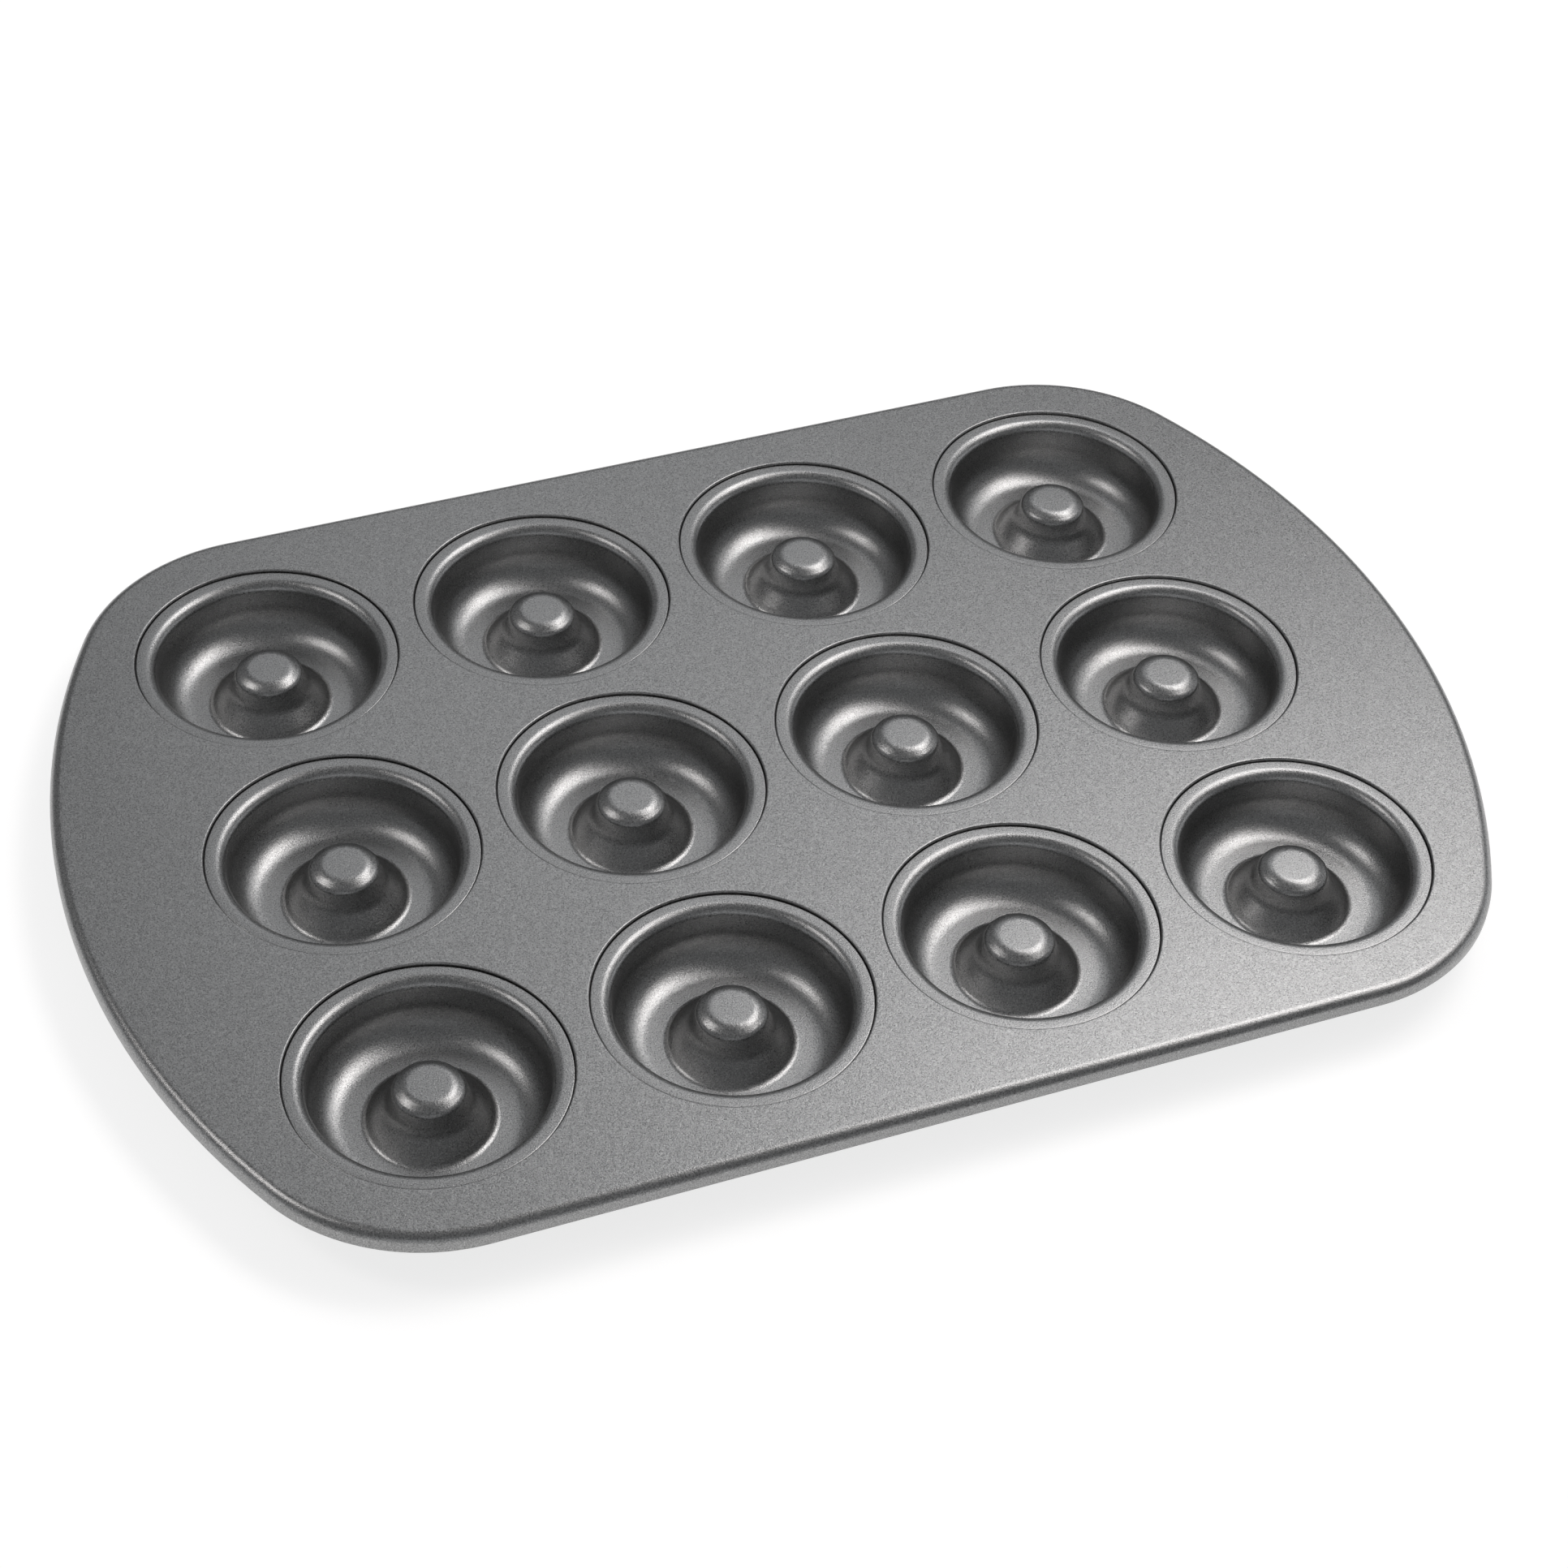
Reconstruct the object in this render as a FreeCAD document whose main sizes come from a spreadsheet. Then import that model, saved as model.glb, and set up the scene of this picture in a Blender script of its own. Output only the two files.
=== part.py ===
import FreeCAD, Part
import math
import os
import Sketcher

# A donut baking pan: one pressed tray and twelve drawn ring cups seamed into its holes.
# Millimetres, +Z up. The origin is the middle of the pan, on the surface it stands on.

ROWS = ("back", "middle", "front")
COLUMNS = ("1", "2", "3", "4")

# Driving sizes. Heights of the cup are measured on the side that holds the batter.
DRIVING_SIZES = {
    "cup_pitch": 80.0,
    "end_margin": 73.0,
    "side_margin": 52.0,
    "tray_end_radius": 218.0,
    "tray_corner_radius": 54.0,
    "tray_gauge": 0.4,
    "rim_bend": 3.0,
    "sheet_land": 0.6,
    "skirt_depth": 5.5,
    "hem_bend": 0.9,
    "hem_width": 2.6,
    "hem_return": 2.4,
    "hole_web": 7.2,
    "collar_bend": 0.45,
    "collar_depth": 3.6,
    "foot_length": 2.0,
    "seam_clearance": 0.1,
    "hook_length": 1.0,
    "cup_gauge": 0.4,
    "cup_depth": 17.6,
    "ring_drop": 0.8,
    "ring_bend": 0.45,
    "ring_width": 5.5,
    "lip_bend": 2.3,
    "wall_draft": 0.8,
    "floor_bend": 9.5,
    "trough_width": 13.4,
    "post_drop": 4.4,
    "post_radius": 9.3,
    "shoulder_width": 2.9,
    "shoulder_fall": 1.6,
    "crown_bend": 5.0,
    "shoulder_bend": 2.5,
    "waist_flare": 1.8,
    "waist_height": 5.5,
    "waist_bend": 5.0,
    "knee_inset": 1.6,
    "knee_rise": 2.1,
    "knee_bend": 5.0,
    "post_foot_bend": 2.4,
}

# Sizes that follow from the driving ones.
DERIVED_SIZES = {
    "tray_length": f"{len(COLUMNS) - 1} * cup_pitch + 2 * end_margin",
    "tray_width": f"{len(ROWS) - 1} * cup_pitch + 2 * side_margin",
    "hole_radius": "(cup_pitch - hole_web) / 2",
    "pan_height": "cup_depth + cup_gauge",
    "rim_inset": "rim_bend + sheet_land",
    "plate_half_length": "tray_length / 2 - rim_inset",
    "plate_half_width": "tray_width / 2 - rim_inset",
    "plate_end_radius": "tray_end_radius - rim_inset",
    "plate_corner_radius": "tray_corner_radius - rim_inset",
    "skirt_face": "tray_length / 2",
    "skirt_foot": "pan_height - skirt_depth",
    "hem_face": "skirt_face - hem_width",
    "hem_top": "skirt_foot + hem_return",
    "hole_opening": "hole_radius + collar_bend + sheet_land",
    "collar_foot": "pan_height - collar_depth",
    "foot_edge": "hole_radius + foot_length",
    "hanger_radius": "hole_radius - seam_clearance",
    "hanger_foot": "collar_foot - seam_clearance",
    "hook_face": "foot_edge + seam_clearance",
    "hook_top": "collar_foot + tray_gauge + seam_clearance",
    "hook_end": "hook_face - hook_length",
    "ring_height": "pan_height - ring_drop",
    "neck_radius": "hanger_radius - ring_width",
    "wall_foot_radius": "neck_radius - wall_draft",
    "post_foot_radius": "wall_foot_radius - trough_width",
    "knee_radius": "post_foot_radius - knee_inset",
    "knee_height": "cup_gauge + knee_rise",
    "waist_radius": "post_radius + waist_flare",
    "post_height": "pan_height - post_drop",
    "shoulder_height": "post_height - shoulder_fall",
    "crown_radius": "post_radius - shoulder_width",
}

# Bent sheet sections as corners: distance from the axis, height, bend radius. The sheet
# lies to the right of the path. The ends have no bend, and the hidden folds of the seam
# are pressed sharp.
CUP_CORNERS = (
    (None, "post_height", None),
    ("crown_radius", "post_height", "crown_bend"),
    ("post_radius", "shoulder_height", "shoulder_bend"),
    ("waist_radius", "waist_height", "waist_bend"),
    ("knee_radius", "knee_height", "knee_bend"),
    ("post_foot_radius", "cup_gauge", "post_foot_bend"),
    ("wall_foot_radius", "cup_gauge", "floor_bend"),
    ("neck_radius", "ring_height", "lip_bend"),
    ("hanger_radius", "ring_height", "ring_bend"),
    ("hanger_radius", "hanger_foot", None),
    ("hook_face", "hanger_foot", None),
    ("hook_face", "hook_top", None),
    ("hook_end", "hook_top", None),
)
COLLAR_CORNERS = (
    ("foot_edge", "collar_foot", None),
    ("hole_radius", "collar_foot", None),
    ("hole_radius", "pan_height", "collar_bend"),
    ("hole_opening", "pan_height", None),
)
RIM_CORNERS = (
    ("plate_half_length", "pan_height", None),
    ("skirt_face", "pan_height", "rim_bend"),
    ("skirt_face", "skirt_foot", "hem_bend"),
    ("hem_face", "skirt_foot", "hem_bend"),
    ("hem_face", "hem_top", None),
)

ORIGIN = (-1, 1)

doc = FreeCAD.newDocument("donut_pan")


def make_sheet():
    sheet = doc.addObject("Spreadsheet::Sheet", "Sizes")
    rows = [(name, str(number)) for name, number in DRIVING_SIZES.items()]
    rows += [(name, "=" + rule) for name, rule in DERIVED_SIZES.items()]
    for row, (name, content) in enumerate(rows, start=1):
        sheet.set(f"A{row}", name)
        sheet.set(f"B{row}", content)
        sheet.setAlias(f"B{row}", name)
    doc.recompute()
    return sheet


sizes = make_sheet()


def size(name):
    return float(sizes.get(name))


def start_of(curve):
    return (curve, 1)


def end_of(curve):
    return (curve, 2)


def centre_of(curve):
    return (curve, 3)


def bind(sketch, constraint, rule):
    """Adds a measured constraint and ties it to a rule over the sheet's cells."""
    index = sketch.addConstraint(constraint)
    sketch.setExpression(f"Constraints[{index}]", rule)


def add_corner(sketch, across, up):
    """Adds a section's sharp corner as a construction point that is tied to its two sizes."""
    x = size(across) if across else 0.0
    y = size(up)
    point = sketch.addGeometry(Part.Point(FreeCAD.Vector(x, y, 0)), True)
    if across:
        bind(sketch, Sketcher.Constraint("DistanceX", *ORIGIN, *start_of(point), x), f"Sizes.{across}")
    else:
        sketch.addConstraint(Sketcher.Constraint("Vertical", *ORIGIN, *start_of(point)))
    bind(sketch, Sketcher.Constraint("DistanceY", *ORIGIN, *start_of(point), y), f"Sizes.{up}")
    return point


def right_of(start, end):
    along = (end - start).normalize()
    return FreeCAD.Vector(along.y, -along.x, 0)


def shift_right(points, distance):
    """Moves every run of a path to its right and gives the new corners."""
    sides = [right_of(start, end) for start, end in zip(points, points[1:])]
    shifted = [points[0] + sides[0] * distance]
    for corner, before, after in zip(points[1:], sides, sides[1:]):
        mitre = before + after
        shifted.append(corner + mitre * (2 * distance / mitre.Length ** 2))
    shifted.append(points[-1] + sides[-1] * distance)
    return shifted


def end_near(sketch, curve, point):
    return min((start_of(curve), end_of(curve)), key=lambda end: (sketch.getPoint(*end) - point).Length)


def join_runs(sketch, run, arc, following):
    """Joins two runs of a path at a sharp corner, or through the arc that rounds it."""
    if arc is None:
        sketch.addConstraint(Sketcher.Constraint("Coincident", *end_of(run), *start_of(following)))
        return
    near = end_near(sketch, arc, sketch.getPoint(*end_of(run)))
    far = end_near(sketch, arc, sketch.getPoint(*start_of(following)))
    sketch.addConstraint(Sketcher.Constraint("Tangent", *end_of(run), *near))
    sketch.addConstraint(Sketcher.Constraint("Tangent", *far, *start_of(following)))


def add_bent_path(sketch, points, bends):
    """Draws the runs of a path and the arcs that round its corners. No bend leaves a corner sharp."""
    runs, arcs = [], []
    begin = points[0]
    for before, corner, after, bend in zip(points, points[1:], points[2:], bends):
        first, last, arc = corner, corner, None
        if bend:
            inward = (before - corner).normalize()
            outward = (after - corner).normalize()
            half_angle = inward.getAngle(outward) / 2
            reach = bend / math.tan(half_angle)
            crown = (inward + outward).normalize() * (bend / math.sin(half_angle) - bend)
            first, last = corner + inward * reach, corner + outward * reach
            arc = sketch.addGeometry(Part.Arc(first, corner + crown, last))
        runs.append(sketch.addGeometry(Part.LineSegment(begin, first)))
        arcs.append(arc)
        begin = last
    runs.append(sketch.addGeometry(Part.LineSegment(begin, points[-1])))
    for run, arc, following in zip(runs, arcs, runs[1:]):
        join_runs(sketch, run, arc, following)
    return runs, arcs


def draw_sheet_section(sketch, corners, gauge):
    """Draws a bent sheet: the path through its corners, and its other face one gauge away."""
    marks = [add_corner(sketch, across, up) for across, up, bend in corners]
    points = [sketch.getPoint(*start_of(mark)) for mark in marks]
    bends = [bend for across, up, bend in corners[1:-1]]

    runs, arcs = add_bent_path(sketch, points, [size(bend) if bend else None for bend in bends])
    sketch.addConstraint(Sketcher.Constraint("Coincident", *start_of(runs[0]), *start_of(marks[0])))
    sketch.addConstraint(Sketcher.Constraint("Coincident", *end_of(runs[-1]), *start_of(marks[-1])))
    for run, following, mark in zip(runs, runs[1:], marks[1:]):
        sketch.addConstraint(Sketcher.Constraint("PointOnObject", *start_of(mark), run))
        sketch.addConstraint(Sketcher.Constraint("PointOnObject", *start_of(mark), following))
    for arc, bend in zip(arcs, bends):
        if bend:
            bind(sketch, Sketcher.Constraint("Radius", arc, size(bend)), f"Sizes.{bend}")

    thickness = size(gauge)
    signs = []
    for before, corner, after in zip(points, points[1:], points[2:]):
        turns_right = right_of(before, corner).dot(after - corner) > 0
        signs.append(-1 if turns_right else 1)
    back_bends = [size(bend) + sign * thickness if bend else None for bend, sign in zip(bends, signs)]
    back_runs, back_arcs = add_bent_path(sketch, shift_right(points, thickness), back_bends)
    for run, back_run in zip(runs, back_runs):
        sketch.addConstraint(Sketcher.Constraint("Parallel", run, back_run))
        gap = Sketcher.Constraint("Distance", *start_of(back_run), run, thickness)
        bind(sketch, gap, f"Sizes.{gauge}")
    for arc, bend, sign, radius in zip(back_arcs, bends, signs, back_bends):
        if bend:
            rule = f"Sizes.{bend} + {sign} * Sizes.{gauge}"
            bind(sketch, Sketcher.Constraint("Radius", arc, radius), rule)

    for end, back_end, run in ((start_of(runs[0]), start_of(back_runs[0]), runs[0]),
                               (end_of(runs[-1]), end_of(back_runs[-1]), runs[-1])):
        cap = sketch.addGeometry(Part.LineSegment(sketch.getPoint(*end), sketch.getPoint(*back_end)))
        sketch.addConstraint(Sketcher.Constraint("Coincident", *start_of(cap), *end))
        sketch.addConstraint(Sketcher.Constraint("Coincident", *end_of(cap), *back_end))
        sketch.addConstraint(Sketcher.Constraint("Perpendicular", cap, run))


def origin_plane(body, role):
    return next(feature for feature in body.Origin.OriginFeatures if feature.Role == role)


def body_sketch(body, name, role):
    sketch = body.newObject("Sketcher::SketchObject", name)
    sketch.AttachmentSupport = (origin_plane(body, role), [""])
    sketch.MapMode = "FlatFace"
    return sketch


def draw_plate_outline(sketch):
    """Draws straight long sides, shallow end arcs and corner arcs, all tangent in turn."""
    half_length, half_width = size("plate_half_length"), size("plate_half_width")
    end_radius, corner_radius = size("plate_end_radius"), size("plate_corner_radius")
    end_centre = half_length - end_radius
    corner_y = half_width - corner_radius
    corner_x = end_centre + math.sqrt((end_radius - corner_radius) ** 2 - corner_y ** 2)
    swing = math.atan2(corner_y, corner_x - end_centre)

    def arc(x, y, radius, begin, finish):
        circle = Part.Circle(FreeCAD.Vector(x, y, 0), FreeCAD.Vector(0, 0, 1), radius)
        return sketch.addGeometry(Part.ArcOfCircle(circle, begin, finish))

    def side(begin_x, finish_x, y):
        begin, finish = FreeCAD.Vector(begin_x, y, 0), FreeCAD.Vector(finish_x, y, 0)
        return sketch.addGeometry(Part.LineSegment(begin, finish))

    quarter, half = math.pi / 2, math.pi
    right_upper = arc(end_centre, 0, end_radius, 0, swing)
    corners = [arc(corner_x, corner_y, corner_radius, swing, quarter)]
    back_side = side(corner_x, -corner_x, half_width)
    corners.append(arc(-corner_x, corner_y, corner_radius, quarter, half - swing))
    left = arc(-end_centre, 0, end_radius, half - swing, half + swing)
    corners.append(arc(-corner_x, -corner_y, corner_radius, half + swing, half + quarter))
    front_side = side(-corner_x, corner_x, -half_width)
    corners.append(arc(corner_x, -corner_y, corner_radius, -quarter, -swing))
    right_lower = arc(end_centre, 0, end_radius, -swing, 0)

    loop = [right_upper, corners[0], back_side, corners[1], left,
            corners[2], front_side, corners[3], right_lower]
    for curve, following in zip(loop, loop[1:] + loop[:1]):
        sketch.addConstraint(Sketcher.Constraint("Tangent", *end_of(curve), *start_of(following)))
    middle, opposite = centre_of(right_upper), centre_of(left)
    sketch.addConstraint(Sketcher.Constraint("Horizontal", *ORIGIN, *start_of(right_upper)))
    sketch.addConstraint(Sketcher.Constraint("Horizontal", *ORIGIN, *middle))
    sketch.addConstraint(Sketcher.Constraint("Symmetric", *middle, *opposite, *ORIGIN))
    sketch.addConstraint(Sketcher.Constraint("Equal", right_upper, right_lower))
    sketch.addConstraint(Sketcher.Constraint("Equal", right_upper, left))
    for corner in corners[1:]:
        sketch.addConstraint(Sketcher.Constraint("Equal", corners[0], corner))
    sketch.addConstraint(Sketcher.Constraint("Horizontal", back_side))
    sketch.addConstraint(Sketcher.Constraint("Horizontal", front_side))
    bind(sketch, Sketcher.Constraint("DistanceX", *ORIGIN, *start_of(right_upper), half_length),
         "Sizes.plate_half_length")
    bind(sketch, Sketcher.Constraint("DistanceY", *ORIGIN, *start_of(back_side), half_width),
         "Sizes.plate_half_width")
    bind(sketch, Sketcher.Constraint("DistanceY", *start_of(front_side), *ORIGIN, half_width),
         "Sizes.plate_half_width")
    bind(sketch, Sketcher.Constraint("Radius", right_upper, end_radius), "Sizes.plate_end_radius")
    bind(sketch, Sketcher.Constraint("Radius", corners[0], corner_radius), "Sizes.plate_corner_radius")


def column_rule(index):
    return f"{index - (len(COLUMNS) - 1) / 2} * Sizes.cup_pitch"


def row_rule(index):
    return f"{(len(ROWS) - 1) / 2 - index} * Sizes.cup_pitch"


def make_tray():
    body = doc.addObject("PartDesign::Body", "tray")

    outline = body_sketch(body, "plate_outline", "XY_Plane")
    outline.setExpression("AttachmentOffset.Base.z", "Sizes.pan_height")
    draw_plate_outline(outline)
    doc.recompute()
    plate = body.newObject("PartDesign::Pad", "plate")
    plate.Profile = outline
    plate.setExpression("Length", "Sizes.tray_gauge")
    plate.Reversed = True
    doc.recompute()

    rim_section = body_sketch(body, "rim_section", "XZ_Plane")
    draw_sheet_section(rim_section, RIM_CORNERS, "tray_gauge")
    doc.recompute()
    rim = body.newObject("PartDesign::AdditivePipe", "rim")
    rim.Profile = rim_section
    rim.Spine = outline
    doc.recompute()

    hole_sketch = body_sketch(body, "hole_sketch", "XY_Plane")
    hole_sketch.setExpression("AttachmentOffset.Base.x", column_rule(0))
    hole_sketch.setExpression("AttachmentOffset.Base.y", row_rule(0))
    hole_sketch.setExpression("AttachmentOffset.Base.z", "Sizes.pan_height")
    opening = size("hole_opening")
    ring = Part.Circle(FreeCAD.Vector(0, 0, 0), FreeCAD.Vector(0, 0, 1), opening)
    circle = hole_sketch.addGeometry(ring)
    hole_sketch.addConstraint(Sketcher.Constraint("Coincident", *centre_of(circle), *ORIGIN))
    bind(hole_sketch, Sketcher.Constraint("Radius", circle, opening), "Sizes.hole_opening")
    doc.recompute()
    hole = body.newObject("PartDesign::Pocket", "hole")
    hole.Profile = hole_sketch
    hole.setExpression("Length", "Sizes.tray_gauge")
    doc.recompute()

    collar_section = body_sketch(body, "collar_section", "XZ_Plane")
    collar_section.setExpression("AttachmentOffset.Base.x", column_rule(0))
    collar_section.setExpression("AttachmentOffset.Base.z", f"-({row_rule(0)})")
    draw_sheet_section(collar_section, COLLAR_CORNERS, "tray_gauge")
    doc.recompute()
    collar = body.newObject("PartDesign::Revolution", "collar")
    collar.Profile = collar_section
    collar.ReferenceAxis = (collar_section, ["V_Axis"])
    collar.Angle = 360
    doc.recompute()

    holes = body.newObject("PartDesign::MultiTransform", "holes")
    holes.Originals = [hole, collar]
    along = add_pattern(body, outline, "H_Axis", len(COLUMNS), False)
    across = add_pattern(body, outline, "V_Axis", len(ROWS), True)
    holes.Transformations = [along, across]
    body.Tip = holes
    doc.recompute()
    return body


def add_pattern(body, sketch, axis, count, reverse):
    pattern = body.newObject("PartDesign::LinearPattern", "pattern_" + axis[0])
    pattern.Direction = (sketch, [axis])
    pattern.Reversed = reverse
    pattern.setExpression("Length", f"{count - 1} * Sizes.cup_pitch")
    pattern.Occurrences = count
    return pattern


def make_cup_section():
    sketch = doc.addObject("Sketcher::SketchObject", "cup_section")
    upright = FreeCAD.Rotation(FreeCAD.Vector(1, 0, 0), 90)
    sketch.Placement = FreeCAD.Placement(FreeCAD.Vector(0, 0, 0), upright)
    draw_sheet_section(sketch, CUP_CORNERS, "cup_gauge")
    doc.recompute()
    return sketch


def make_cup(section, row, column):
    cup = doc.addObject("Part::Revolution", f"cup_{ROWS[row]}_{COLUMNS[column]}")
    cup.Source = section
    cup.Axis = FreeCAD.Vector(0, 0, 1)
    cup.Angle = 360
    cup.Solid = True
    cup.FaceMakerClass = "Part::FaceMakerBullseye"
    cup.setExpression("Placement.Base.x", column_rule(column))
    cup.setExpression("Placement.Base.y", row_rule(row))
    return cup


def check_document():
    for item in doc.Objects:
        if "Invalid" in item.State or "Error" in item.State:
            raise RuntimeError(f"{item.Label} did not build")


def write_parts(pieces):
    os.makedirs("parts", exist_ok=True)
    for piece in pieces:
        if piece.Shape.isNull() or not piece.Shape.isValid():
            raise RuntimeError(f"{piece.Label} has no valid shape")
        piece.Shape.exportStep(f"parts/{piece.Label}.step")


pieces = [make_tray()]
cup_section = make_cup_section()
for row in range(len(ROWS)):
    for column in range(len(COLUMNS)):
        pieces.append(make_cup(cup_section, row, column))
doc.recompute()
check_document()
write_parts(pieces)
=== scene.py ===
import math

import bpy
from mathutils import Matrix, Vector


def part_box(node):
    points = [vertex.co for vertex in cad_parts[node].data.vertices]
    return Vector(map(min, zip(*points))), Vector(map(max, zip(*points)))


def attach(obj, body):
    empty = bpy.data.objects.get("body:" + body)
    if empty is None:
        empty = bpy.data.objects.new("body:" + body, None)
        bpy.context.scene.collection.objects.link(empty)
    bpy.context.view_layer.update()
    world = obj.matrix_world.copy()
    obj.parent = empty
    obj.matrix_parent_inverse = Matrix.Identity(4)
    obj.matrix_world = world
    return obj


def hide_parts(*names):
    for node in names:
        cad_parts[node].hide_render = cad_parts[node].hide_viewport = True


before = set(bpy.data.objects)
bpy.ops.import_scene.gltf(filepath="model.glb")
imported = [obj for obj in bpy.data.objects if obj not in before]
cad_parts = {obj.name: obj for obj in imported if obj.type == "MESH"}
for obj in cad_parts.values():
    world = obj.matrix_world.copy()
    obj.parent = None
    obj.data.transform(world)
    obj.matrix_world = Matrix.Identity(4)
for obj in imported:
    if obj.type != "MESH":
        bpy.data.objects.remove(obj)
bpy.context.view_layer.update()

# Sizes in metres, with the places taken from the parts of model.glb
MM = 0.001

ROWS = ("back", "middle", "front")
COLUMNS = ("1", "2", "3", "4")

tray_low, tray_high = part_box("tray")
PAN_TOP = tray_high.z
SKIRT_FOOT = tray_low.z
CUP_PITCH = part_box("cup_back_2")[0].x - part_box("cup_back_1")[0].x

TRAY_GAUGE = 0.4 * MM
END_RADIUS = 218 * MM
CORNER_RADIUS = 54 * MM
RIM_BEND = 3.0 * MM
SHEET_LAND = 0.6 * MM
HEM_BEND = 0.9 * MM
HEM_WIDTH = 2.6 * MM
HEM_RETURN = 2.4 * MM

HOLE_RADIUS = 36.4 * MM
COLLAR_BEND = 0.45 * MM
COLLAR_DEPTH = 3.6 * MM
FOOT_LENGTH = 2.0 * MM
SEAM_CLEARANCE = 0.1 * MM
HOOK_LENGTH = 1.0 * MM

CUP_GAUGE = 0.4 * MM
RING_DROP = 0.8 * MM
RING_BEND = 0.45 * MM
RING_WIDTH = 5.5 * MM
LIP_BEND = 3.0 * MM
WALL_DRAFT = 0.8 * MM
FLOOR_BEND = 9.0 * MM
TROUGH_WIDTH = 13.4 * MM
POST_DROP = 4.4 * MM
POST_RADIUS = 9.3 * MM
SHOULDER_WIDTH = 2.9 * MM
SHOULDER_FALL = 1.6 * MM
CROWN_BEND = 5.0 * MM
SHOULDER_BEND = 2.5 * MM
WAIST_FLARE = 1.5 * MM
WAIST_HEIGHT = 6.5 * MM
WAIST_BEND = 7.0 * MM
KNEE_INSET = 1.6 * MM
KNEE_RISE = 1.8 * MM
KNEE_BEND = 5.0 * MM
POST_FOOT_BEND = 2.4 * MM

RIM_INSET = RIM_BEND + SHEET_LAND
HOLE_OPENING = HOLE_RADIUS + COLLAR_BEND + SHEET_LAND
COLLAR_FOOT = PAN_TOP - COLLAR_DEPTH
RING_TOP = PAN_TOP - RING_DROP
HANGER_RADIUS = HOLE_RADIUS - SEAM_CLEARANCE
HANGER_FOOT = COLLAR_FOOT - SEAM_CLEARANCE
HOOK_FACE = HOLE_RADIUS + FOOT_LENGTH + SEAM_CLEARANCE
HOOK_TOP = COLLAR_FOOT + TRAY_GAUGE + SEAM_CLEARANCE
NECK_RADIUS = HANGER_RADIUS - RING_WIDTH
WALL_FOOT_RADIUS = NECK_RADIUS - WALL_DRAFT
POST_FOOT_RADIUS = WALL_FOOT_RADIUS - TROUGH_WIDTH
POST_TOP = PAN_TOP - POST_DROP

# How the sheets are divided, welded and thickened
CUP_SEGMENTS = 144
HOLE_SEGMENTS = 112
OUTLINE_STEP = math.radians(1.5)
BEND_STEPS = 14
WELD = 0.004 * MM
HIDDEN_SIDE = -1.0

# The coating's grain
COATING_TONE = (0.28, 0.28, 0.28, 1.0)
SPECKLE_SIZE = 0.35 * MM
SPECKLE_CONTRAST = 9.0
SPECKLE_DETAIL = 2.0
MOTTLE_SIZE = 25 * MM
MOTTLE_CONTRAST = 1.06
MOTTLE_DETAIL = 3.0
NOISE_ROUGHNESS = 0.6
NOISE_LOW = 0.3
NOISE_MIDDLE = 0.5
NOISE_HIGH = 0.7
ROUGHNESS_LOW = 0.26
ROUGHNESS_HIGH = 0.34
METALLIC = 1.0
BUMP_STRENGTH = 1.0
BUMP_DEPTH = 0.05 * MM

# Floor, room and light
WHITE = (1.0, 1.0, 1.0)
WARM = (1.0, 0.97, 0.955)
COOL = (0.965, 0.98, 1.0)
FLOOR_SIZE = 6.0
FLOOR_DROP = 0.1 * MM
FLOOR_TONE = (0.4, 0.4, 0.4, 1.0)
FLOOR_GLOW = 0.75
FLOOR_NEAR = 0.4
FLOOR_FAR = 1.0
FULL_WHITE = 1.0
ROOM_STRENGTH = 0.24
LIGHT_DISTANCE = 1.6

# The photograph's camera, fitted to the holes of the tray: angles in degrees, lens and sensor in mm
CAMERA_AZIMUTH = -22.834
CAMERA_ELEVATION = 44.572
CAMERA_ROLL = 3.284
CAMERA_DISTANCE = 11.273 * CUP_PITCH
CAMERA_AIM = Vector((-0.0113 * CUP_PITCH, -0.1567 * CUP_PITCH, PAN_TOP))
CAMERA_LENS = 76.67
CAMERA_SENSOR = 36.0

# Corners of the bent sheets: name, distance outwards, height and bend radius.
# The thickness lies to the right of the path, on the side that is hidden.
CUP_CORNERS = (
    ("Post Top", 0.0, POST_TOP, 0.0),
    ("Post Crown", POST_RADIUS - SHOULDER_WIDTH, POST_TOP, CROWN_BEND),
    ("Post Shoulder", POST_RADIUS, POST_TOP - SHOULDER_FALL, SHOULDER_BEND),
    ("Post Waist", POST_RADIUS + WAIST_FLARE, WAIST_HEIGHT, WAIST_BEND),
    ("Post Knee", POST_FOOT_RADIUS - KNEE_INSET, CUP_GAUGE + KNEE_RISE, KNEE_BEND),
    ("Post Foot", POST_FOOT_RADIUS, CUP_GAUGE, POST_FOOT_BEND),
    ("Wall Foot", WALL_FOOT_RADIUS, CUP_GAUGE, FLOOR_BEND),
    ("Lip", NECK_RADIUS, RING_TOP, LIP_BEND),
    ("Ring Edge", HANGER_RADIUS, RING_TOP, RING_BEND),
    ("Hanger Foot", HANGER_RADIUS, HANGER_FOOT, 0.0),
    ("Hook Foot", HOOK_FACE, HANGER_FOOT, 0.0),
    ("Hook Top", HOOK_FACE, HOOK_TOP, 0.0),
    ("Hook End", HOOK_FACE - HOOK_LENGTH, HOOK_TOP, 0.0),
)
COLLAR_CORNERS = (
    ("Foot Edge", HOLE_RADIUS + FOOT_LENGTH, COLLAR_FOOT, 0.0),
    ("Collar Foot", HOLE_RADIUS, COLLAR_FOOT, 0.0),
    ("Collar Top", HOLE_RADIUS, PAN_TOP, COLLAR_BEND),
    ("Opening", HOLE_OPENING, PAN_TOP, 0.0),
)
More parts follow.
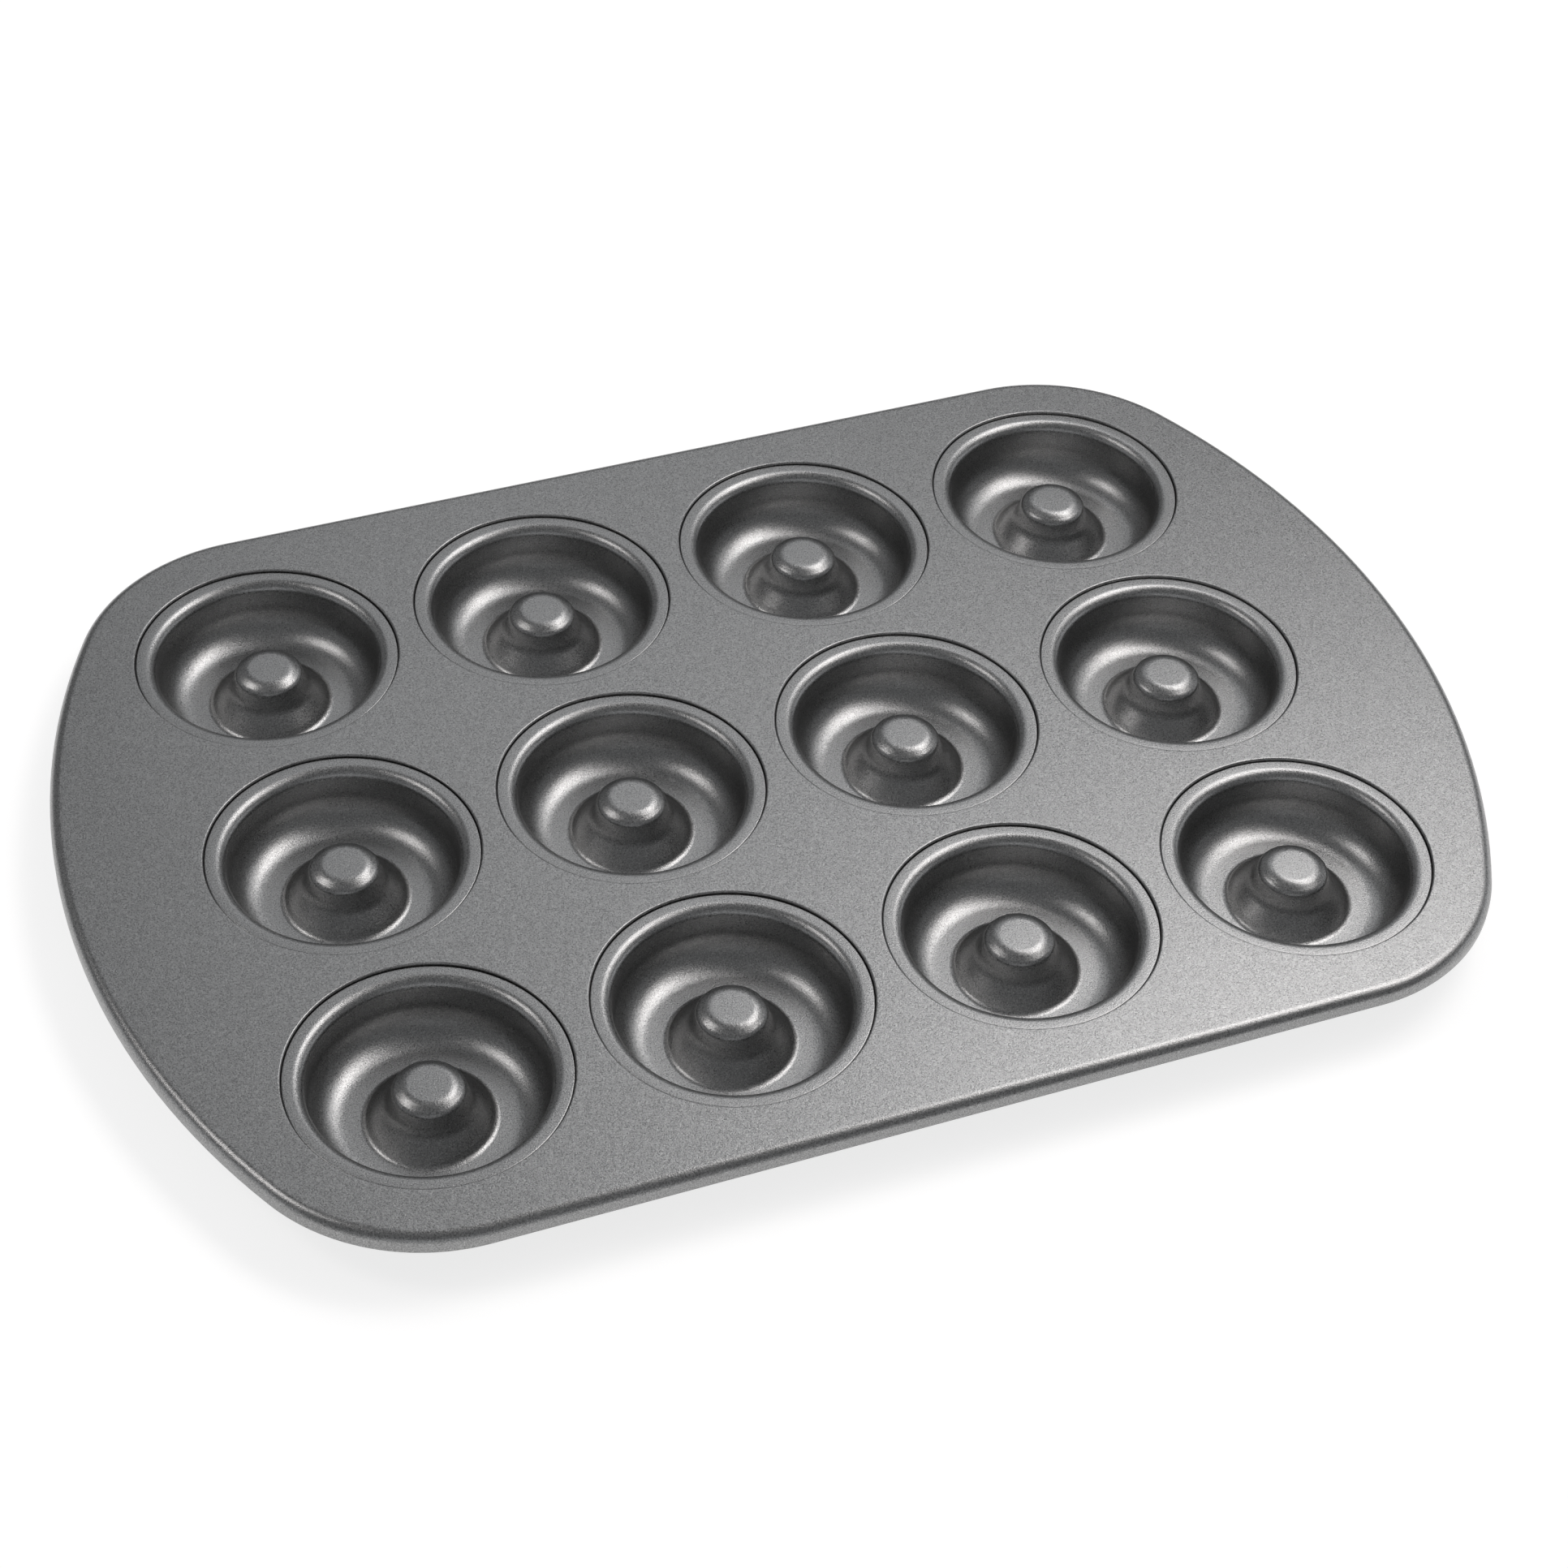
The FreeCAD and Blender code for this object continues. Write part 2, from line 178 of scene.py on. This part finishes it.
RIM_CORNERS = (
    ("Plate Edge", 0.0, PAN_TOP, 0.0),
    ("Rim Bend", RIM_INSET, PAN_TOP, RIM_BEND),
    ("Skirt Foot", RIM_INSET, SKIRT_FOOT, HEM_BEND),
    ("Hem Foot", RIM_INSET - HEM_WIDTH, SKIRT_FOOT, HEM_BEND),
    ("Hem Top", RIM_INSET - HEM_WIDTH, SKIRT_FOOT + HEM_RETURN, 0.0),
)


# Node helpers
def new_tree(name):
    tree = bpy.data.node_groups.new(name, "GeometryNodeTree")
    tree.interface.new_socket("Geometry", in_out="OUTPUT", socket_type="NodeSocketGeometry")
    return tree


def add_input(tree, name, kind, value=None):
    socket = tree.interface.new_socket(name, in_out="INPUT", socket_type=kind)
    if value is not None:
        socket.default_value = value


def add_node(tree, kind, inputs=None, **settings):
    """Adds a node with its settings. Each input is a value, or the socket that feeds it."""
    node = tree.nodes.new(kind)
    for name, setting in settings.items():
        setattr(node, name, setting)
    for name, source in (inputs or {}).items():
        if isinstance(source, bpy.types.NodeSocket):
            tree.links.new(source, node.inputs[name])
        else:
            node.inputs[name].default_value = source
    return node


def calculate(tree, operation, first, second):
    """Adds a math node and gives its result."""
    return add_node(tree, "ShaderNodeMath", {0: first, 1: second}, operation=operation).outputs["Value"]


def join(tree, *parts):
    joined = add_node(tree, "GeometryNodeJoinGeometry")
    for part in parts:
        tree.links.new(part, joined.inputs["Geometry"])
    return joined.outputs["Geometry"]


# Bent sheets
def add_section_inputs(tree, corners):
    """Gives the tree a named input for each corner's place and bend."""
    for name, outwards, height, bend in corners:
        add_input(tree, name, "NodeSocketVector", (outwards, 0.0, height))
        add_input(tree, name + " Bend", "NodeSocketFloat", bend)


def section_curve(tree, group_in, corners, path_radius):
    """Draws a bent sheet's section, with rounded corners, as the profile of a sweep.

    Its distances count from the path. The sweep takes its heights along Y, turned downwards."""
    index = add_node(tree, "GeometryNodeInputIndex").outputs["Index"]
    places = add_node(tree, "GeometryNodeIndexSwitch", {"Index": index}, data_type="VECTOR")
    bends = add_node(tree, "GeometryNodeIndexSwitch", {"Index": index}, data_type="FLOAT")
    for number, corner in enumerate(corners):
        name = corner[0]
        for switch, socket in ((places, name), (bends, name + " Bend")):
            if number >= len(switch.index_switch_items):
                switch.index_switch_items.new()
            tree.links.new(group_in.outputs[socket], switch.inputs[str(number)])
    line = add_node(tree, "GeometryNodeMeshLine", {"Count": len(corners)})
    placed = add_node(tree, "GeometryNodeSetPosition",
                      {"Geometry": line.outputs["Mesh"], "Position": places.outputs["Output"]})
    curve = add_node(tree, "GeometryNodeMeshToCurve", {"Mesh": placed.outputs["Geometry"]})
    rounded = add_node(tree, "GeometryNodeFilletCurve",
                       {"Curve": curve.outputs["Curve"], "Count": BEND_STEPS,
                        "Radius": bends.outputs["Output"]}, mode="POLY")
    turned = add_node(tree, "GeometryNodeTransform",
                      {"Geometry": rounded.outputs["Curve"], "Translation": (-path_radius, 0.0, 0.0),
                       "Rotation": (math.radians(90), 0.0, 0.0)})
    return turned.outputs["Geometry"]


def sweep(tree, path, profile):
    """Sweeps a section along a level path."""
    level = add_node(tree, "GeometryNodeSetCurveNormal", {"Curve": path}, mode="Z_UP")
    swept = add_node(tree, "GeometryNodeCurveToMesh",
                     {"Curve": level.outputs["Curve"], "Profile Curve": profile})
    return swept.outputs["Mesh"]


def end_tree(tree, group_in, geometry):
    """Welds the sheet, smooths it and gives it its material."""
    welded = add_node(tree, "GeometryNodeMergeByDistance", {"Geometry": geometry, "Distance": WELD})
    smooth = add_node(tree, "GeometryNodeSetShadeSmooth", {"Geometry": welded.outputs["Geometry"]})
    coated = add_node(tree, "GeometryNodeSetMaterial",
                      {"Geometry": smooth.outputs["Geometry"], "Material": group_in.outputs["Coating"]})
    add_node(tree, "NodeGroupOutput", {"Geometry": coated.outputs["Geometry"]})


def cup_tree():
    """A ring cup: its section swept round a circle, moved to its place in the tray."""
    tree = new_tree("Ring Cup")
    add_section_inputs(tree, CUP_CORNERS)
    add_input(tree, "Place", "NodeSocketVector", (0.0, 0.0, 0.0))
    add_input(tree, "Segments", "NodeSocketInt", CUP_SEGMENTS)
    add_input(tree, "Coating", "NodeSocketMaterial")
    group_in = add_node(tree, "NodeGroupInput")
    circle = add_node(tree, "GeometryNodeCurvePrimitiveCircle",
                      {"Resolution": group_in.outputs["Segments"], "Radius": NECK_RADIUS})
    section = section_curve(tree, group_in, CUP_CORNERS, NECK_RADIUS)
    cup = sweep(tree, circle.outputs["Curve"], section)
    moved = add_node(tree, "GeometryNodeTransform",
                     {"Geometry": cup, "Translation": group_in.outputs["Place"]})
    end_tree(tree, group_in, moved.outputs["Geometry"])
    return tree


def hole_circles(tree, group_in):
    """A circle round the opening of each hole, on the grid of the cups."""
    pitch = group_in.outputs["Hole Pitch"]
    grid = add_node(tree, "GeometryNodeMeshGrid",
                    {"Size X": calculate(tree, "MULTIPLY", pitch, len(COLUMNS) - 1.0),
                     "Size Y": calculate(tree, "MULTIPLY", pitch, len(ROWS) - 1.0),
                     "Vertices X": len(COLUMNS), "Vertices Y": len(ROWS)})
    circle = add_node(tree, "GeometryNodeCurvePrimitiveCircle",
                      {"Resolution": group_in.outputs["Hole Segments"], "Radius": HOLE_OPENING})
    placed = add_node(tree, "GeometryNodeInstanceOnPoints",
                      {"Points": grid.outputs["Mesh"], "Instance": circle.outputs["Curve"]})
    holes = add_node(tree, "GeometryNodeRealizeInstances", {"Geometry": placed.outputs["Instances"]})
    return holes.outputs["Geometry"]


def flat_plate(tree, outline, holes):
    """The flat plate inside its outline, open at the holes."""
    edges = join(tree, outline, holes)
    filled = add_node(tree, "GeometryNodeFillCurve", {"Curve": edges}, mode="TRIANGLES")
    plate = add_node(tree, "GeometryNodeTransform",
                     {"Geometry": filled.outputs["Mesh"], "Translation": (0.0, 0.0, PAN_TOP)})
    return plate.outputs["Geometry"]


def tray_tree():
    """The tray: a rim swept along the plate's outline, the plate, and a collar in each hole."""
    tree = new_tree("Pressed Tray")
    add_input(tree, "Outline", "NodeSocketGeometry")
    add_section_inputs(tree, RIM_CORNERS)
    add_section_inputs(tree, COLLAR_CORNERS)
    add_input(tree, "Hole Pitch", "NodeSocketFloat", CUP_PITCH)
    add_input(tree, "Hole Segments", "NodeSocketInt", HOLE_SEGMENTS)
    add_input(tree, "Coating", "NodeSocketMaterial")
    group_in = add_node(tree, "NodeGroupInput")

    edge = add_node(tree, "GeometryNodeMeshToCurve", {"Mesh": group_in.outputs["Outline"]})
    outline = edge.outputs["Curve"]
    rim = sweep(tree, outline, section_curve(tree, group_in, RIM_CORNERS, 0.0))
    holes = hole_circles(tree, group_in)
    collars = sweep(tree, holes, section_curve(tree, group_in, COLLAR_CORNERS, HOLE_OPENING))
    plate = flat_plate(tree, outline, holes)
    end_tree(tree, group_in, join(tree, rim, plate, collars))
    return tree


def arc_points(centre, radius, begin, finish):
    steps = math.ceil((finish - begin) / OUTLINE_STEP)
    turns = [begin + (finish - begin) * step / steps for step in range(steps + 1)]
    return [Vector((centre[0] + radius * math.cos(turn), centre[1] + radius * math.sin(turn), 0.0))
            for turn in turns]


def outline_mesh():
    """The edge of the flat plate as a loop: end arcs, corner arcs and straight long sides."""
    half_length = tray_high.x - RIM_INSET
    half_width = tray_high.y - RIM_INSET
    end_radius = END_RADIUS - RIM_INSET
    corner_radius = CORNER_RADIUS - RIM_INSET
    end_x = half_length - end_radius
    corner_y = half_width - corner_radius
    corner_x = end_x + math.sqrt((end_radius - corner_radius) ** 2 - corner_y ** 2)
    swing = math.atan2(corner_y, corner_x - end_x)

    quarter = arc_points((end_x, 0.0), end_radius, 0.0, swing)
    quarter += arc_points((corner_x, corner_y), corner_radius, swing, math.pi / 2)[1:]
    upper = quarter + [Vector((-point.x, point.y, 0.0)) for point in reversed(quarter)]
    lower = [Vector((point.x, -point.y, 0.0)) for point in reversed(upper[1:-1])]
    points = upper + lower
    count = len(points)
    mesh = bpy.data.meshes.new("tray_outline")
    mesh.from_pydata(points, [(number, (number + 1) % count) for number in range(count)], [])
    return mesh


def make_piece(name, mesh, tree, inputs, gauge):
    """Runs a tree on an object, thickens the sheet and keeps the result as a plain mesh."""
    piece = bpy.data.objects.new(name, mesh)
    bpy.context.scene.collection.objects.link(piece)
    nodes = piece.modifiers.new("Sheet", "NODES")
    nodes.node_group = tree
    for socket in tree.interface.items_tree:
        if socket.name in inputs and socket.in_out == "INPUT":
            nodes[socket.identifier] = inputs[socket.name]
    thick = piece.modifiers.new("Gauge", "SOLIDIFY")
    thick.thickness = gauge
    thick.offset = HIDDEN_SIDE
    thick.use_even_offset = True
    graph = bpy.context.evaluated_depsgraph_get()
    finished = bpy.data.meshes.new_from_object(piece.evaluated_get(graph))
    piece.modifiers.clear()
    piece.data = finished
    finished.name = name
    return piece


# Coating
def grain_noise(group, place, size, detail):
    scale = calculate(group, "DIVIDE", 1.0, size)
    noise = add_node(group, "ShaderNodeTexNoise",
                     {"Vector": place, "Scale": scale, "Detail": detail, "Roughness": NOISE_ROUGHNESS})
    return noise.outputs["Fac"]


def grain_factor(group, noise, contrast):
    """Turns noise around its middle into a factor around one, as a power of the contrast."""
    centred = calculate(group, "SUBTRACT", noise, NOISE_MIDDLE)
    return calculate(group, "POWER", contrast, centred)


def grain_group():
    """A shared coating effect: fine speckle and soft mottle, as tone, roughness and height."""
    group = bpy.data.node_groups.new("Coating Grain", "ShaderNodeTree")
    group.interface.new_socket("Tone", in_out="INPUT", socket_type="NodeSocketColor")
    for name in ("Speckle Size", "Speckle Contrast", "Mottle Size", "Mottle Contrast",
                 "Roughness Low", "Roughness High"):
        group.interface.new_socket(name, in_out="INPUT", socket_type="NodeSocketFloat")
    group.interface.new_socket("Colour", in_out="OUTPUT", socket_type="NodeSocketColor")
    for name in ("Roughness", "Height"):
        group.interface.new_socket(name, in_out="OUTPUT", socket_type="NodeSocketFloat")
    given = add_node(group, "NodeGroupInput").outputs
    place = add_node(group, "ShaderNodeTexCoord").outputs["Object"]
    speckle = grain_noise(group, place, given["Speckle Size"], SPECKLE_DETAIL)
    mottle = grain_noise(group, place, given["Mottle Size"], MOTTLE_DETAIL)
    factor = calculate(group, "MULTIPLY", grain_factor(group, speckle, given["Speckle Contrast"]),
                       grain_factor(group, mottle, given["Mottle Contrast"]))
    colour = add_node(group, "ShaderNodeVectorMath", {0: given["Tone"], 1: factor}, operation="MULTIPLY")
    roughness = add_node(group, "ShaderNodeMapRange",
                         {"Value": speckle, "From Min": NOISE_LOW, "From Max": NOISE_HIGH,
                          "To Min": given["Roughness Low"], "To Max": given["Roughness High"]})
    add_node(group, "NodeGroupOutput",
             {"Colour": colour.outputs["Vector"], "Roughness": roughness.outputs["Result"],
              "Height": speckle})
    return group


def new_material(name):
    material = bpy.data.materials.new(name)
    material.use_nodes = True
    material.node_tree.nodes.clear()
    return material


def make_coating(name, group):
    """A dark metallic coating with the shared grain."""
    material = new_material(name)
    tree = material.node_tree
    values = {"Tone": COATING_TONE, "Speckle Size": SPECKLE_SIZE, "Speckle Contrast": SPECKLE_CONTRAST,
              "Mottle Size": MOTTLE_SIZE, "Mottle Contrast": MOTTLE_CONTRAST,
              "Roughness Low": ROUGHNESS_LOW, "Roughness High": ROUGHNESS_HIGH}
    grain = add_node(tree, "ShaderNodeGroup", node_tree=group)
    for socket, value in values.items():
        grain.inputs[socket].default_value = value
    relief = add_node(tree, "ShaderNodeBump",
                      {"Height": grain.outputs["Height"], "Strength": BUMP_STRENGTH,
                       "Distance": BUMP_DEPTH})
    shader = add_node(tree, "ShaderNodeBsdfPrincipled",
                      {"Base Color": grain.outputs["Colour"], "Roughness": grain.outputs["Roughness"],
                       "Normal": relief.outputs["Normal"], "Metallic": METALLIC})
    add_node(tree, "ShaderNodeOutputMaterial", {"Surface": shader.outputs["BSDF"]})
    return material


# Floor, room and light
def floor_material():
    """Pale paper that turns white away from the pan, and is clear when it is seen from below."""
    material = new_material("Floor")
    tree = material.node_tree
    path = add_node(tree, "ShaderNodeLightPath").outputs
    mirrored = calculate(tree, "MAXIMUM", path["Is Glossy Ray"], path["Is Transmission Ray"])
    seen = calculate(tree, "MAXIMUM", path["Is Camera Ray"], mirrored)
    place = add_node(tree, "ShaderNodeTexCoord").outputs["Object"]
    reach = add_node(tree, "ShaderNodeVectorMath", {0: place}, operation="LENGTH")
    level = add_node(tree, "ShaderNodeMapRange",
                     {"Value": reach.outputs["Value"], "From Min": FLOOR_NEAR, "From Max": FLOOR_FAR,
                      "To Min": FLOOR_GLOW, "To Max": FULL_WHITE})
    glow = add_node(tree, "ShaderNodeEmission",
                    {"Color": (*WHITE, 1.0),
                     "Strength": calculate(tree, "MULTIPLY", seen, level.outputs["Result"])})
    paper = add_node(tree, "ShaderNodeBsdfDiffuse", {"Color": FLOOR_TONE})
    both = add_node(tree, "ShaderNodeAddShader", {0: paper.outputs["BSDF"], 1: glow.outputs["Emission"]})
    clear = add_node(tree, "ShaderNodeBsdfTransparent")
    sides = add_node(tree, "ShaderNodeNewGeometry")
    mix = add_node(tree, "ShaderNodeMixShader",
                   {0: sides.outputs["Backfacing"], 1: both.outputs["Shader"], 2: clear.outputs["BSDF"]})
    add_node(tree, "ShaderNodeOutputMaterial", {"Surface": mix.outputs["Shader"]})
    return material


def make_floor():
    bpy.ops.mesh.primitive_plane_add(size=FLOOR_SIZE, location=(0.0, 0.0, -FLOOR_DROP))
    floor = bpy.context.object
    floor.name = "floor"
    floor.data.materials.append(floor_material())


def make_room():
    """A dim cool room that the camera sees as plain white."""
    world = bpy.data.worlds.new("Studio")
    bpy.context.scene.world = world
    world.use_nodes = True
    tree = world.node_tree
    tree.nodes.clear()
    path = add_node(tree, "ShaderNodeLightPath")
    room = add_node(tree, "ShaderNodeBackground", {"Color": (*COOL, 1.0), "Strength": ROOM_STRENGTH})
    white = add_node(tree, "ShaderNodeBackground", {"Color": (*WHITE, 1.0), "Strength": FULL_WHITE})
    mix = add_node(tree, "ShaderNodeMixShader",
                   {0: path.outputs["Is Camera Ray"], 1: room.outputs["Background"],
                    2: white.outputs["Background"]})
    add_node(tree, "ShaderNodeOutputWorld", {"Surface": mix.outputs["Shader"]})


def direction(azimuth, elevation):
    """A direction away from the pan, in degrees. Azimuth 0 is its front and 90 its right end."""
    turn = math.radians(azimuth)
    lift = math.radians(elevation)
    return Vector((math.sin(turn) * math.cos(lift), -math.cos(turn) * math.cos(lift), math.sin(lift)))


def make_softbox(name, tint, azimuth, elevation, width, height, brightness):
    """A soft box that faces the pan. Its brightness is that of its face, whatever its size."""
    away = direction(azimuth, elevation)
    light = bpy.data.lights.new(name, "AREA")
    light.shape = "RECTANGLE"
    light.size = width
    light.size_y = height
    light.energy = math.pi * width * height * brightness
    light.color = tint
    lamp = bpy.data.objects.new(name, light)
    lamp.location = away * LIGHT_DISTANCE
    lamp.rotation_euler = away.to_track_quat("Z", "Y").to_euler()
    bpy.context.scene.collection.objects.link(lamp)


def make_lights():
    """Warm boxes high on the right, left and front right, and dim cool panels round the pan."""
    make_softbox("right_core", WARM, azimuth=108, elevation=59, width=0.5, height=0.3, brightness=5.5)
    make_softbox("right_softbox", WARM, azimuth=108, elevation=59, width=1.0, height=0.5, brightness=4.6)
    make_softbox("left_softbox", WARM, azimuth=-110, elevation=50, width=0.45, height=0.5, brightness=4.4)
    make_softbox("front_softbox", WARM, azimuth=65, elevation=52, width=0.5, height=0.4, brightness=1.4)
    make_softbox("right_panel", COOL, azimuth=115, elevation=37, width=1.0, height=0.35, brightness=0.8)
    make_softbox("corner_panel", COOL, azimuth=135, elevation=52, width=0.5, height=0.6, brightness=0.85)
    make_softbox("back_panel", COOL, azimuth=165, elevation=46, width=0.8, height=0.9, brightness=0.6)
    make_softbox("right_wall", COOL, azimuth=85, elevation=9, width=1.4, height=0.45, brightness=0.8)
    make_softbox("left_wall", COOL, azimuth=-95, elevation=9, width=1.4, height=0.45, brightness=0.5)
    make_softbox("front_wall", COOL, azimuth=-20, elevation=14, width=1.6, height=0.6, brightness=0.45)


def make_camera():
    """Turns the camera to the pan, then rolls it about its line of sight."""
    roll = math.radians(CAMERA_ROLL)
    back = direction(CAMERA_AZIMUTH, CAMERA_ELEVATION)
    right = (-back).cross(Vector((0.0, 0.0, 1.0))).normalized()
    up = right.cross(-back)
    tilted_right = right * math.cos(roll) + up * math.sin(roll)
    tilted_up = up * math.cos(roll) - right * math.sin(roll)
    data = bpy.data.cameras.new("Camera")
    data.lens = CAMERA_LENS
    data.sensor_width = CAMERA_SENSOR
    camera = bpy.data.objects.new("Camera", data)
    turn = Matrix((tilted_right, tilted_up, back)).transposed().to_4x4()
    camera.matrix_world = Matrix.Translation(CAMERA_AIM + back * CAMERA_DISTANCE) @ turn
    bpy.context.scene.collection.objects.link(camera)
    bpy.context.scene.camera = camera


# The pan
def make_tray(material):
    tray = make_piece("tray_sheet", outline_mesh(), tray_tree(), {"Coating": material}, TRAY_GAUGE)
    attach(tray, "root")
    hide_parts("tray")


def make_cup(node, tree, material):
    low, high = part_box(node)
    place = ((low.x + high.x) / 2, (low.y + high.y) / 2, 0.0)
    empty = bpy.data.meshes.new(node)
    cup = make_piece(f"ring_{node}", empty, tree, {"Place": place, "Coating": material}, CUP_GAUGE)
    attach(cup, "root")
    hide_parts(node)


def make_pan():
    grain = grain_group()
    make_tray(make_coating("Tray coating", grain))
    cup_coating = make_coating("Cup coating", grain)
    tree = cup_tree()
    for row in ROWS:
        for column in COLUMNS:
            make_cup(f"cup_{row}_{column}", tree, cup_coating)


bpy.context.scene.view_settings.view_transform = "Standard"
make_pan()
make_floor()
make_room()
make_lights()
make_camera()
